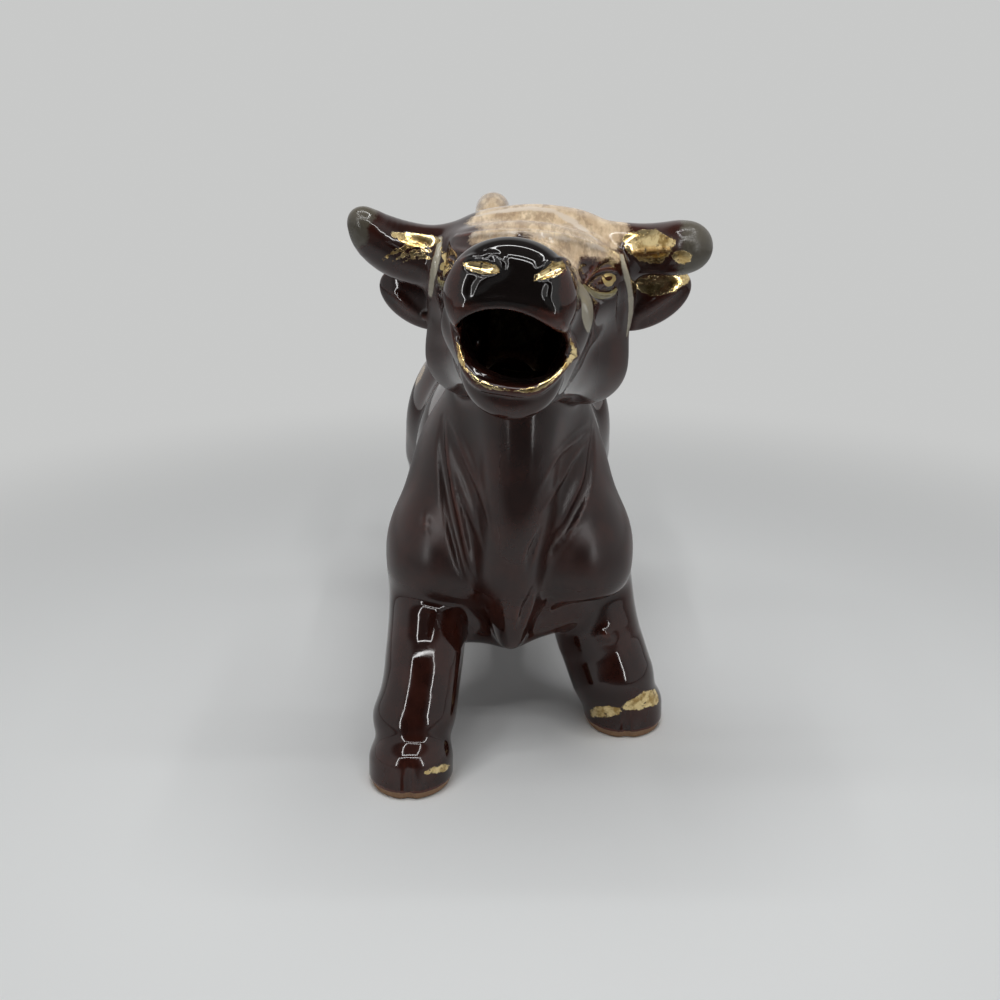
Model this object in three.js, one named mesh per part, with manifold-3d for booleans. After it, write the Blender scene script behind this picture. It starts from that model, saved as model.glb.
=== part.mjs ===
// Bull creamer: a small glazed pottery jug in the shape of a standing bull.
// It is hollow, filled through an opening on the back, poured from the open
// mouth and held by the tail, which loops over the rump.
// Millimetres, +Z up. The bull looks along -Y, its left side is +X, and the
// four soles stand on z = 0.
import * as THREE from "three";
import { mergeVertices } from "three/addons/utils/BufferGeometryUtils.js";
import Module from "manifold-3d";

const wasm = await Module();
wasm.setup();

// Driving dimensions
const WALL = 3.2; // clay wall of the hollow body
const GAP = 0.3; // joint between two castings
const HEAD_CENTRE = [3.7, -42, 104];
const HEAD_TURN = 6; // degrees, the head looks a little to the bull's right
const MUZZLE_ROLL = 3; // degrees, the muzzle leans over a little
const NECK_FOOT = { point: [0, -33, 68], tilt: 39.5 }; // joint of neck and barrel
const NECK_HEAD = { point: [2.5, -39, 77.5], tilt: 26.5 }; // joint of head and neck
const FILLER = { y: 4, length: 31, width: 25, floor: 52 }; // opening on the back
const SHOULDER_EDGE = 35; // height at which the shoulders overhang the legs
const CLEFT = { width: 1.4, depth: 1.2, height: 8 }; // split at the front of a hoof
const NOSTRIL = { side: 5.9, shift: 0.2, height: 8.4, forward: 39.8, radii: [3.2, 2, 1.1], tilt: 12 };
const MOUTH = { centre: [0.3, -40, -4.8], radii: [9.9, 20, 6.5], roll: 12 };
const NOSE_TILT = 9; // degrees that the nose pad leans back
const FAR = 200; // larger than the bull
const TINY = 1e-9;

// Vectors and frames
const vec = (a) => new THREE.Vector3(...a);
const radians = THREE.MathUtils.degToRad;
const pitched = (degrees) => new THREE.Matrix4().makeRotationX(radians(degrees));
const rolled = (degrees) => new THREE.Matrix4().makeRotationY(radians(degrees));

// A frame on the head, with the body's axes turned and then rolled.
function headFrame(roll) {
  return new THREE.Matrix4()
    .makeRotationZ(radians(-HEAD_TURN))
    .multiply(rolled(roll))
    .setPosition(vec(HEAD_CENTRE));
}
const SKULL = headFrame(0);
const MUZZLE = headFrame(MUZZLE_ROLL);

// Shapes: each is a function that gives a point's distance to a surface,
// negative inside.
function ellipsoid(centre, radii, turn = new THREE.Matrix4()) {
  const toLocal = turn.clone().setPosition(vec(centre)).invert();
  const r = vec(radii);
  return (point) => {
    const p = point.clone().applyMatrix4(toLocal).divide(r);
    const steep = p.clone().divide(r).length() + TINY;
    return ((p.length() + TINY) * (p.length() - 1)) / steep;
  };
}

// An oval post along its own Z, with rounded rims.
function drum(centre, [rx, ry], half, edge, turn = new THREE.Matrix4()) {
  const toLocal = turn.clone().setPosition(vec(centre)).invert();
  return (point) => {
    const p = point.clone().applyMatrix4(toLocal);
    const size = Math.hypot(p.x / rx, p.y / ry);
    const steep = Math.hypot(p.x / rx ** 2, p.y / ry ** 2) + TINY;
    const side = ((size + TINY) * (size - 1)) / steep + edge;
    const end = Math.abs(p.z) - half + edge;
    return Math.hypot(Math.max(side, 0), Math.max(end, 0)) + Math.min(Math.max(side, end), 0) - edge;
  };
}

// A round bar between two stations, each given as [x, y, z, radius].
function bar([ax, ay, az, ra], [bx, by, bz, rb]) {
  const start = vec([ax, ay, az]);
  const along = vec([bx, by, bz]).sub(start);
  return (point) => {
    const p = point.clone().sub(start);
    const t = THREE.MathUtils.clamp(p.dot(along) / along.lengthSq(), 0, 1);
    return p.addScaledVector(along, -t).length() - (ra + t * (rb - ra));
  };
}

// The lesser of two distances, rounded over a band where they are alike.
function blend(a, b, band) {
  const h = Math.max(band - Math.abs(a - b), 0) / band;
  return Math.min(a, b) - (h * h * h * band) / 6;
}

// The distance a with b taken away, its edge rounded over a band.
const cut = (a, b, band) => -blend(-a, b, band);

// One shape with others blended on, each given as [band, shape].
function blended(first, ...others) {
  return (point) => others.reduce((d, [band, shape]) => blend(d, shape(point), band), first(point));
}

// A limb: bars from station to station.
function limb(band, stations) {
  const bars = stations.slice(1).map((to, i) => [band, bar(stations[i], to)]);
  return blended(bars[0][1], ...bars.slice(1));
}

const mirrored = (shape) => (point) => shape(new THREE.Vector3(Math.abs(point.x), point.y, point.z));
const common = (a, b) => (point) => Math.max(a(point), b(point));

function inFrame(frame, shape) {
  const toLocal = frame.clone().invert();
  return (point) => shape(point.clone().applyMatrix4(toLocal));
}

// The space under a plane that is tilted up towards the back, and the space over it.
function under({ point, tilt }, margin = 0) {
  const normal = vec([0, -Math.sin(radians(tilt)), Math.cos(radians(tilt))]);
  const plane = new THREE.Plane().setFromNormalAndCoplanarPoint(normal, vec(point));
  return (p) => plane.distanceToPoint(p) - margin;
}
const over = (joint, margin = 0) => (p) => -under(joint)(p) - margin;

// Body
const shoulder = blended(
  ellipsoid([15.4, -27, 43], [12.2, 17, 14.5], pitched(-8)),
  [5, ellipsoid([14, -34, 40], [11.5, 9, 8])],
);
const shelvedShoulder = (point) => cut(shoulder(point), point.z - SHOULDER_EDGE, 3);
const torso = blended(
  ellipsoid([0, 16, 53], [23.5, 50, 26]), // belly
  [12, ellipsoid([0, -18, 50], [17.5, 26, 26])], // chest
  [14, ellipsoid([0, -8, 72], [9, 28, 13])], // withers
  [8, ellipsoid([-0.8, 48, 64], [20.5, 19, 18])], // rump
  [7, mirrored(shelvedShoulder)],
  [9, mirrored(ellipsoid([13.2, -23, 56], [9.2, 14, 19], rolled(-8)))], // shoulder blades
  [8, mirrored(ellipsoid([14.3, 46, 51], [13.8, 18.5, 22], pitched(14)))], // haunches
);
const throat = blended(
  bar([0, -18, 58, 16], [2.5, -32, 92, 13]),
  [8, bar([0, -28, 58, 12], [2.5, -36, 84, 11])],
);
const keel = blended(
  limb(1, [
    [1.9, -42, 84, 6.8], [1.9, -44.6, 68, 6.8], [1.3, -45.2, 55, 6.8],
    [-0.3, -44, 43, 6.2], [0, -42.5, 34, 5], [0.2, -41.6, 28.8, 3.8],
  ]),
  [5, ellipsoid([0.3, -30, 37], [12, 11.5, 12])], // brisket
  [4, bar([-13, -32, 28.6, 6.2], [0, -35, 27.4, 4.8])], // its folds, out to the forelegs
  [4, bar([0, -35, 27.4, 4.8], [13, -30.5, 30.8, 6])],
);

// Head
const skull = blended(
  bar([-8, 5, 2.6, 11.2], [8, 5, 2.6, 11.2]), // poll, from horn to horn
  [5, ellipsoid([0.6, 4, 6], [15, 9, 9])], // crown
);
const cheek = blended(
  bar([11.8, 2, 0, 8], [12, 3, -15.5, 7.4]),
  [9, bar([11.8, 2, -1, 8], [5, -24, -2, 7.4])],
  [9, bar([12, 3, -15, 7.4], [2.6, -22, -12, 6.8])],
);
const face = blended(
  limb(2, [[-13, -3, 4.4, 5.6], [-4.5, -9, 6, 5.8], [4, -9.5, 6.2, 5.8], [13.5, -4, 4, 5.6]]), // brow
  [7, bar([0, -6, -1, 11.5], [-0.4, -30, 1, 9.5])], // bridge of the nose
  [5, drum([-0.5, -31, 2.6], [11.6, 10], 11, 5, pitched(90 - NOSE_TILT))], // nose pad
  [6, bar([0, 4, -10, 10], [0.2, -26, -9.5, 9])], // jaw
  [5, drum([0.2, -26.5, -9.8], [9.2, 9.6], 10.5, 4, pitched(90))], // lower lip
  [6, ellipsoid([-0.6, -25, -4.4], [12.6, 10, 7.5])], // corners of the mouth
  [6, mirrored(cheek)],
);
const head = blended(inFrame(SKULL, skull), [5, inFrame(MUZZLE, face)]);
const mouth = inFrame(MUZZLE, ellipsoid(MOUTH.centre, MOUTH.radii, rolled(MOUTH.roll)));
const body = blended(torso, [12, throat], [9, keel], [4, head]);

// Horns, ears, legs and tail
const HORNS = {
  left: [[13, 3, 6, 6.2], [22, 0, 7.1, 4.7], [28, -3.5, 7.9, 4.7], [31, -6, 8.6, 4.5]],
  right: [
    [-13, 3, 4.5, 7], [-20, 1, 5, 5.8], [-26, -0.5, 6.6, 5.3],
    [-30.2, -3, 9.4, 4.3], [-32.6, -5, 12.6, 2.7],
  ],
};
const EARS = {
  left: { centre: [23.5, 8, -3.8], radii: [9.6, 2.8, 5.6], roll: -28 },
  right: { centre: [-23.5, 8, -4.6], radii: [9.2, 2.8, 5.6], roll: 28 },
};
const LEGS = {
  foreleg_left: {
    bones: [[17, -22, 40, 9.6], [19.8, -25.6, 23.5, 8.7], [21.6, -26, 18, 8], [23.8, -28.4, 11.5, 8.9]],
    hoof: [26.6, -28],
  },
  foreleg_right: {
    bones: [
      [-17, -26, 42, 9], [-17.8, -32, 32.5, 8.2], [-18.6, -42.5, 24.2, 7.5],
      [-19.4, -46.8, 17.5, 7], [-20.5, -50, 12.2, 7.6],
    ],
    hoof: [-21.3, -54.7],
  },
  hindleg_left: {
    bones: [[17, 49, 44, 11], [18.5, 60, 24, 6.8], [18.8, 54, 12.2, 7.2]],
    hoof: [19.2, 51],
  },
  hindleg_right: {
    bones: [[-17, 46, 44, 11], [-18.5, 55, 24, 6.8], [-18.8, 47, 12.2, 7.2]],
    hoof: [-19.2, 43],
  },
};
const HOOF = { height: 1, radii: [9, 9.6], half: 8.6, edge: 5, lean: 14 };
const FETLOCK = { out: 0.5, radii: [8.5, 9, 6.4] };
const TAIL = [
  [0, 60, 70, 5.4], [-1, 69, 84, 4.8], [-2.3, 72, 95, 4.2], [-3.2, 67, 105, 4], [-4.1, 57, 109.4, 4],
  [-4.3, 46, 107.6, 4], [-4.1, 36.5, 100, 4.4], [-3.4, 31, 91, 5.4], [-2.6, 29, 83, 6], [-2, 27, 77, 4.4],
];

function legShape({ bones, hoof }) {
  const [x, y, z] = bones.at(-1);
  return blended(
    limb(4, bones),
    [3, ellipsoid([x + FETLOCK.out * Math.sign(x), y + FETLOCK.out, z], FETLOCK.radii)],
    [5, drum([...hoof, HOOF.height], HOOF.radii, HOOF.half, HOOF.edge, pitched(-HOOF.lean))],
  );
}

// Solids
function solidOf(geometry) {
  const merged = mergeVertices(geometry.clone().deleteAttribute("normal").deleteAttribute("uv"), 1e-4);
  const { position } = merged.attributes;
  return new wasm.Manifold(
    new wasm.Mesh({
      numProp: 3,
      vertProperties: new Float32Array(position.array),
      triVerts: new Uint32Array(merged.index.array),
    }),
  );
}

const STRIDE = 0.75; // length of the first steps along a ray
const HALVINGS = 14; // how often the last step is halved

// The distance from a start inside the shape to where it reaches the level.
function reach(shape, start, direction, level) {
  const at = (t) => shape(start.clone().addScaledVector(direction, t)) - level;
  let outside = STRIDE;
  while (at(outside) < 0 && outside < FAR) outside += STRIDE;
  let inside = outside - STRIDE;
  for (let halving = 0; halving < HALVINGS; halving += 1) {
    const middle = (inside + outside) / 2;
    if (at(middle) < 0) inside = middle;
    else outside = middle;
  }
  return outside;
}

// A closed skin: a sphere's points drawn out along a route, then pushed off
// it until the shape reaches the level. Rows near the poles close the ends.
function cast(shape, route, { level = 0, around = 24, along = 16, ends = 4 } = {}) {
  const curve = new THREE.CatmullRomCurve3(route);
  const spans = along - 2 * ends;
  const { tangents, normals, binormals } = curve.computeFrenetFrames(spans);
  const geometry = new THREE.SphereGeometry(1, around, along);
  const { position } = geometry.attributes;
  for (let i = 0; i < position.count; i += 1) {
    const row = Math.floor(i / (around + 1));
    const turn = (2 * Math.PI * (i % (around + 1) % around)) / around;
    const station = THREE.MathUtils.clamp(spans - (row - ends), 0, spans);
    const past = Math.max(ends - row, 0) - Math.max(row - ends - spans, 0);
    const rise = (past / ends) * (Math.PI / 2);
    const start = curve.getPointAt(station / spans);
    const direction = new THREE.Vector3()
      .addScaledVector(normals[station], -Math.cos(turn) * Math.cos(rise))
      .addScaledVector(binormals[station], -Math.sin(turn) * Math.cos(rise))
      .addScaledVector(tangents[station], Math.sin(rise));
    if (Math.abs(past) === ends) direction.copy(tangents[station]).multiplyScalar(Math.sign(past));
    const p = start.addScaledVector(direction, reach(shape, start, direction, level));
    position.setXYZ(i, p.x, p.y, p.z);
  }
  const solid = solidOf(geometry);
  if (solid.volume() < 0) throw new Error("a cast skin is inside out");
  return solid;
}

// A half of space as a large box, under the joint plane or over it.
function halfSpace({ point, tilt }, side) {
  const box = new THREE.BoxGeometry(2 * FAR, 2 * FAR, FAR);
  box.translate(0, 0, side * (FAR / 2 + GAP / 2));
  box.applyMatrix4(pitched(tilt).setPosition(vec(point)));
  return solidOf(box);
}
const UNDER = -1;
const OVER = 1;
const ground = solidOf(new THREE.BoxGeometry(2 * FAR, 2 * FAR, FAR).translate(0, 0, -FAR / 2));
const WORLD = new THREE.Matrix4();
const points = (route, frame = WORLD) => route.map(([x, y, z]) => vec([x, y, z]).applyMatrix4(frame));

// Castings of the hollow body
const MARGIN = 12; // how far a skin runs on past a joint before it is cut there
const BARREL_ROUTE = points([[0, -22, 50], [0, 12, 54], [0, 48, 56]]);
const NECK_ROUTE = points([[0.5, -29, 64], [1.5, -33, 74], [2.4, -37, 84]]);
const HEAD_ROUTE = points([[0, 6, -2], [0, -10, -3], [0.6, -27, -3.5]], SKULL);
const barrelShape = common(body, under(NECK_FOOT, MARGIN));
const neckShape = common(body, common(over(NECK_FOOT, MARGIN), under(NECK_HEAD, MARGIN)));
const headShape = common(body, over(NECK_HEAD, MARGIN));

function barrelShell() {
  const outer = cast(barrelShape, BARREL_ROUTE, { around: 36, along: 30, ends: 8 });
  const inner = cast(barrelShape, BARREL_ROUTE, { level: -WALL, around: 28, along: 24, ends: 6 });
  const filler = new THREE.CylinderGeometry(0.5, 0.5, FAR, 32).rotateX(Math.PI / 2);
  filler.scale(FILLER.width, FILLER.length, 1).translate(0, FILLER.y, FAR / 2 + FILLER.floor);
  return outer.subtract(inner).intersect(halfSpace(NECK_FOOT, UNDER)).subtract(solidOf(filler));
}

function neckShell() {
  const outer = cast(neckShape, NECK_ROUTE, { around: 32, along: 12, ends: 4 });
  const inner = cast(neckShape, NECK_ROUTE, { level: -WALL, around: 24, along: 12, ends: 4 });
  return outer.subtract(inner).intersect(halfSpace(NECK_FOOT, OVER)).intersect(halfSpace(NECK_HEAD, UNDER));
}

function nostril(side) {
  const dent = new THREE.SphereGeometry(1, 10, 8).scale(...NOSTRIL.radii);
  dent.applyMatrix4(rolled(-side * NOSTRIL.tilt));
  dent.translate(side * NOSTRIL.side + NOSTRIL.shift, -NOSTRIL.forward, NOSTRIL.height);
  return solidOf(dent.applyMatrix4(MUZZLE));
}

function headShell() {
  const outer = cast(headShape, HEAD_ROUTE, { around: 40, along: 32, ends: 10 });
  const inner = cast(headShape, HEAD_ROUTE, { level: -WALL, around: 24, along: 18, ends: 5 });
  const [x, y, z] = MOUTH.centre;
  const opening = cast(mouth, points([[x, y + 6, z], [x, y, z], [x, y - 6, z]], MUZZLE), { ends: 6 });
  return outer
    .subtract(inner)
    .subtract(opening)
    .subtract(nostril(1))
    .subtract(nostril(-1))
    .intersect(halfSpace(NECK_HEAD, OVER));
}

// What is set on the body is cut back from it by the joint.
const aroundBarrel = cast(barrelShape, BARREL_ROUTE, { level: GAP, around: 36, along: 30, ends: 8 });
const aroundHead = cast(headShape, HEAD_ROUTE, { level: GAP, around: 40, along: 32, ends: 10 });

function horn(side, level = 0) {
  const shape = inFrame(SKULL, limb(2, HORNS[side]));
  const rings = { level, around: 14, along: 14, ends: 4 };
  return cast(shape, points(HORNS[side], SKULL), rings).subtract(aroundHead);
}

function ear(side) {
  const { centre, radii, roll } = EARS[side];
  const leaf = new THREE.SphereGeometry(1, 16, 12).rotateZ(Math.PI / 2).scale(...radii);
  leaf.applyMatrix4(rolled(roll).setPosition(vec(centre))).applyMatrix4(SKULL);
  return solidOf(leaf).subtract(aroundHead).subtract(horn(side, GAP));
}

function leg(name) {
  const { bones, hoof } = LEGS[name];
  const route = points([...bones, [...hoof, HOOF.height + 2]]);
  const whole = cast(legShape(LEGS[name]), route, { around: 18, along: 20, ends: 4 });
  const cleft = new THREE.BoxGeometry(CLEFT.width, 2 * CLEFT.depth, 2 * CLEFT.height);
  cleft.translate(hoof[0], hoof[1] - HOOF.radii[1], 0);
  return whole.subtract(aroundBarrel).subtract(ground).subtract(solidOf(cleft));
}

function tailHandle() {
  const rope = cast(limb(3, TAIL), points(TAIL), { around: 12, along: 34, ends: 3 });
  return rope.subtract(aroundBarrel);
}

// The assembly
const GLAZES = {
  brown: { color: 0x2a0f0b, roughness: 0.12, metalness: 0 },
  cream: { color: 0xb08a62, roughness: 0.2, metalness: 0 },
};

function pottery(name, solid, glaze) {
  const { numProp, vertProperties, triVerts } = solid.getMesh();
  const geometry = new THREE.BufferGeometry()
    .setAttribute("position", new THREE.BufferAttribute(vertProperties, numProp))
    .setIndex(new THREE.BufferAttribute(triVerts, 1));
  geometry.computeVertexNormals();
  const mesh = new THREE.Mesh(geometry, new THREE.MeshStandardMaterial(glaze));
  mesh.name = name;
  return mesh;
}

const creamer = new THREE.Group();
creamer.name = "bull_creamer";
creamer.add(
  pottery("barrel_shell", barrelShell(), GLAZES.brown),
  pottery("neck_shell", neckShell(), GLAZES.brown),
  pottery("head_shell", headShell(), GLAZES.brown),
  pottery("horn_left", horn("left"), GLAZES.brown),
  pottery("horn_right", horn("right"), GLAZES.brown),
  pottery("ear_left", ear("left"), GLAZES.brown),
  pottery("ear_right", ear("right"), GLAZES.brown),
  pottery("tail_handle", tailHandle(), GLAZES.cream),
  ...Object.keys(LEGS).map((name) => pottery(name, leg(name), GLAZES.brown)),
);

// The origin is on the ground, under the middle of the bull.
const box = new THREE.Box3().setFromObject(creamer);
const middle = box.getCenter(new THREE.Vector3());
creamer.position.set(-middle.x, -middle.y, 0);

export default creamer;
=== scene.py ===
"""Bull creamer: the looks of a small glazed pottery jug in the shape of a standing bull.

Every clay section is one closed skin. A form is a function that gives a point's distance
to a surface, forms are blended as a potter blends wet clay, and the skin is drawn where
the distance is zero. Lengths in the forms are millimetres in the frame that the bull was
modelled in: the bull looks along -Y, its left side is +X, and its soles stand on z = 0.
"""

import math

import bpy
import numpy as np
from mathutils import Matrix, Vector


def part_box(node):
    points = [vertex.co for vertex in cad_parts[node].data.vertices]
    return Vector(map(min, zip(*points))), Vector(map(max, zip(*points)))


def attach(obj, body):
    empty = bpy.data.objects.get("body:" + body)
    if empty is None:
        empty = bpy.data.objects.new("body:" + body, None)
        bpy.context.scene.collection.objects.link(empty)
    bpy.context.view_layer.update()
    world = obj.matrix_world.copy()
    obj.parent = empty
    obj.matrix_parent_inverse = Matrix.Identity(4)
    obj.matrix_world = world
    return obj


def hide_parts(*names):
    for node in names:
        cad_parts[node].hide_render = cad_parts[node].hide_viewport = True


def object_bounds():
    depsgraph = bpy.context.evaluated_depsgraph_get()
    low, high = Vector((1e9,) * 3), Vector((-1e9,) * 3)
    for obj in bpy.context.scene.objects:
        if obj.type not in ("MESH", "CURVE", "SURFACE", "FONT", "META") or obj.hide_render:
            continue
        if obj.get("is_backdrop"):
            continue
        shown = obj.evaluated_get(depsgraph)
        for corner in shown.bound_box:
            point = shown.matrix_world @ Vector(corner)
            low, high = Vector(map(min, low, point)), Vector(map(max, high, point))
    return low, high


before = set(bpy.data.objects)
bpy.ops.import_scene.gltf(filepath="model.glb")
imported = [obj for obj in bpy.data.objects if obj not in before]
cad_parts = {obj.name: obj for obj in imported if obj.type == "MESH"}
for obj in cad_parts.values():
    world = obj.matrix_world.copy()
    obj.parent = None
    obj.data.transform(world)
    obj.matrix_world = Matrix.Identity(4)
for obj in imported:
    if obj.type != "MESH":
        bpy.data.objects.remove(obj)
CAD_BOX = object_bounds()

MM = 0.001
ROOT = "root"

# Driving sizes, as in the castings
WALL = 3.2  # clay wall of the hollow body
MIDDLE = (3.25, -4.02, 0.0)  # the middle of the bull's box, which is the part's origin
HEAD_CENTRE = (3.7, -42.0, 104.0)
HEAD_TURN = 6.0  # degrees that the head looks to the bull's right
MUZZLE_ROLL = 3.0  # degrees that the muzzle leans over
NECK_FOOT = ((0.0, -33.0, 68.0), 39.5)  # joint of neck and barrel: a point, and its tilt
NECK_HEAD = ((2.5, -39.0, 77.5), 26.5)  # joint of head and neck
NOSE_TILT = 9.0  # degrees that the nose pad leans back
FILLER = {"y": 4.0, "half_width": 12.5, "half_length": 15.5, "floor": 62.0}  # opening on the back
ROUNDING = {"filler": 2.2, "mouth": 1.6, "sole": 0.9}  # how far the rim of each cut is rounded
FILLET = {"horn": 3, "ear": 2, "leg": 3.5, "tail": 5}  # and where each is set on the body
LAP = 0.8  # how far a section's skin runs on under its neighbour's
BURIED = 1.5  # how deep a leg, horn, ear or tail is set into the body
TAPER = 0.25  # how fast a skin draws in past a joint
SHOULDER_EDGE = 35.0  # height at which the shoulders overhang the legs
SOLE_HEIGHT = 1.7  # bare clay under the glaze line of a hoof
SOLE_DRAFT = 0.4  # how fast it draws in towards the sole
GLAZE_STEP = 0.15  # thickness of the glaze
GLAZE_LINE = 0.3  # height over which it ends
FAR = 30.0  # a distance past which a small form has no effect
NEARBY = 10.0  # how far round its stations a form is worked out
PAINT_FAR = 9.0  # the greatest distance to a colour that a piece stores
TINY = 1e-6
LIMB_STEPS = 3  # bars between two stations of a limb
STROKE_STEPS = 4  # and of a stroke
POST_STEPS = 12  # and of a post

# Camera, matched to the photograph: 1300 pixels of focal length on 1000 pixels
PHOTO_SIZE = 1000
PHOTO_FOCAL = 1300
CAMERA_AT = (-2.2, -302.5, 143.3)
CAMERA_DOWN = 18.0
SENSOR = 36.0


def in_part(points):
    """Points in the modelling frame, in millimetres, as metres in the part's frame."""
    return (np.asarray(points, float) - MIDDLE) * MM


def placed(name, data):
    piece = bpy.data.objects.new(name, data)
    bpy.context.scene.collection.objects.link(piece)
    return piece


# Forms

def turned(axis, degrees):
    return np.array(Matrix.Rotation(math.radians(degrees), 3, axis), np.float32)


def length(v):
    return np.sqrt(np.einsum("ij,ij->i", v, v))


def ellipsoid(centre, radii, turn=None):
    centre, radii = np.float32(centre), np.float32(radii)

    def distance(p):
        q = p - centre
        if turn is not None:
            q = q @ turn
        q = q / radii
        size = length(q)
        return (size + TINY) * (size - 1) / (length(q / radii) + TINY)

    return distance


def drum(centre, radii, half, edge, turn=None):
    """An oval post along its own Z, with rounded rims."""
    centre, radii = np.float32(centre), np.float32(radii)

    def distance(p):
        q = p - centre
        if turn is not None:
            q = q @ turn
        across = q[:, :2] / radii
        size = length(across)
        side = (size + TINY) * (size - 1) / (length(across / radii) + TINY) + edge
        end = np.abs(q[:, 2]) - half + edge
        outside = np.hypot(np.maximum(side, 0), np.maximum(end, 0))
        return outside + np.minimum(np.maximum(side, end), 0) - edge

    return distance


def bar(start, end):
    """A round bar between two stations, each given as x, y, z and radius."""
    start, end = np.float32(start), np.float32(end)
    along = end[:3] - start[:3]
    square = along @ along + TINY

    def distance(p):
        q = p - start[:3]
        t = np.clip(q @ along / square, 0, 1)
        return length(q - t[:, None] * along) - (start[3] + t * (end[3] - start[3]))

    return distance


def blend(a, b, band):
    """The lesser of two distances, rounded over a band where they are alike."""
    h = np.maximum(band - np.abs(a - b), 0) / band
    return np.minimum(a, b) - h * h * h * band / 6


def cut(a, b, band):
    """The distance a with b taken away, its edge rounded over a band."""
    return -blend(-a, b, band)


def blended(first, *others):
    def distance(p):
        d = first(p)
        for band, form in others:
            d = blend(d, form(p), band)
        return d

    return distance


def smooth_path(stations, steps):
    """A smooth path through the stations, with the radius carried along."""
    s = np.array(stations, float)
    s = np.vstack([2 * s[0] - s[1], s, 2 * s[-1] - s[-2]])
    path = []
    for a, b, c, d in zip(s[:-3], s[1:-2], s[2:-1], s[3:]):
        for t in np.arange(steps) / steps:
            bend = (2 * a - 5 * b + 4 * c - d) * t * t + (3 * b - 3 * c + d - a) * t ** 3
            path.append(b + 0.5 * ((c - a) * t + bend))
    path.append(s[-2])
    return np.array(path)


def nearby(form, stations, margin=NEARBY):
    """A form that is worked out only round its stations and counts as far elsewhere."""
    s = np.array(stations, np.float32)
    reach = s[:, 3].max() + margin
    low, high = s[:, :3].min(0) - reach, s[:, :3].max(0) + reach

    def distance(p):
        d = np.full(len(p), FAR, np.float32)
        near = np.all((p > low) & (p < high), 1)
        if near.any():
            d[near] = form(p[near])
        return d

    return distance


def limb(band, stations, steps=LIMB_STEPS):
    path = smooth_path(stations, steps)
    bars = [bar(a, b) for a, b in zip(path[:-1], path[1:])]
    return blended(bars[0], *[(band, b) for b in bars[1:]])


def post(stations, end):
    """An upright form whose middle and radius change smoothly with height. Its foot is
    rounded over a band."""
    path = smooth_path(stations, POST_STEPS)[::-1]
    heights = path[:, 2]

    def distance(p):
        x, y, radius = (np.interp(p[:, 2], heights, path[:, k]) for k in (0, 1, 3))
        side = np.hypot(p[:, 0] - x, p[:, 1] - y) - radius
        side = np.maximum(side, p[:, 2] - heights[-1])
        return cut(side, p[:, 2] - heights[0], end).astype(np.float32)

    return distance


def mirrored(form):
    def distance(p):
        q = p.copy()
        q[:, 0] = np.abs(q[:, 0])
        return form(q)

    return distance


def in_frame(place, form):
    turn, centre = place
    return lambda p: form((p - centre) @ turn)


def head_frame(roll):
    """A frame on the head: the body's axes, turned and then rolled."""
    return turned("Z", -HEAD_TURN) @ turned("Y", roll), np.float32(HEAD_CENTRE)


def under(joint):
    """How far a point is past a joint plane that is tilted up towards the back."""
    point, tilt = joint
    normal = turned("X", tilt) @ np.float32([0, 0, 1])
    return lambda p: (p - np.float32(point)) @ normal


def ramp(t):
    t = np.clip(t, 0, 1)
    return t * t * (3 - 2 * t)


SKULL = head_frame(0.0)
MUZZLE = head_frame(MUZZLE_ROLL)
BODY = (np.eye(3, dtype=np.float32), np.zeros(3, np.float32))

shoulder = blended(
    ellipsoid([15.4, -27, 43], [12.2, 17, 14.5], turned("X", -8)),
    (5, ellipsoid([14, -34, 40], [11.5, 9, 8])),
)


def shelved_shoulder(p):
    """The shoulder ends below in an edge that overhangs the leg."""
    return cut(shoulder(p), p[:, 2] - SHOULDER_EDGE, 3)


torso = blended(
    ellipsoid([0, 16, 53], [23.5, 50, 26]),  # belly
    (12, ellipsoid([0, -18, 50], [17.5, 26, 26])),  # chest
    (14, ellipsoid([0, -8, 72], [9, 28, 13])),  # withers
    (8, ellipsoid([-0.8, 48, 64], [20.5, 19, 18])),  # rump
    (7, mirrored(shelved_shoulder)),
    (9, mirrored(ellipsoid([13.2, -23, 56], [9.2, 14, 19], turned("Y", -8)))),  # blades
    (8, mirrored(ellipsoid([14.3, 46, 51], [13.8, 18.5, 22], turned("X", 14)))),  # haunches
)
throat = blended(
    bar([0, -18, 58, 16], [2.5, -32, 92, 13]),
    (8, bar([0, -28, 58, 12], [2.5, -36, 84, 11])),
)
keel_ridge = post([
    [1.9, -41, 92, 6.4], [1.9, -42.5, 84, 6.8], [1.9, -44.4, 70, 6.9], [1.4, -45.2, 56, 6.8],
    [-0.2, -44.2, 43, 6.1], [0.1, -42.6, 34, 5], [0.2, -41.4, 28, 3.6], [0.2, -40.8, 24, 1.6],
], 3)
keel = blended(
    nearby(keel_ridge, [[1, -44, 92, 8], [1, -44, 24, 8]]),
    (5, ellipsoid([0.3, -30, 37], [12, 11.5, 12])),  # brisket
    (4, bar([-13, -32, 28.6, 6.2], [0, -35, 27.4, 4.8])),  # its folds, out to the forelegs
    (4, bar([0, -35, 27.4, 4.8], [13, -30.5, 30.8, 6])),
)
skull = blended(
    bar([-8, 5, 2.6, 11.2], [8, 5, 2.6, 11.2]),  # poll, from horn to horn
    (5, ellipsoid([0.6, 4, 6], [15, 9, 9])),  # crown
)
cheek = blended(
    bar([11.8, 2, 0, 8], [12, 3, -15.5, 7.4]),
    (9, bar([11.8, 2, -1, 8], [5, -24, -2, 7.4])),
    (9, bar([12, 3, -15, 7.4], [2.6, -22, -12, 6.8])),
)
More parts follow.
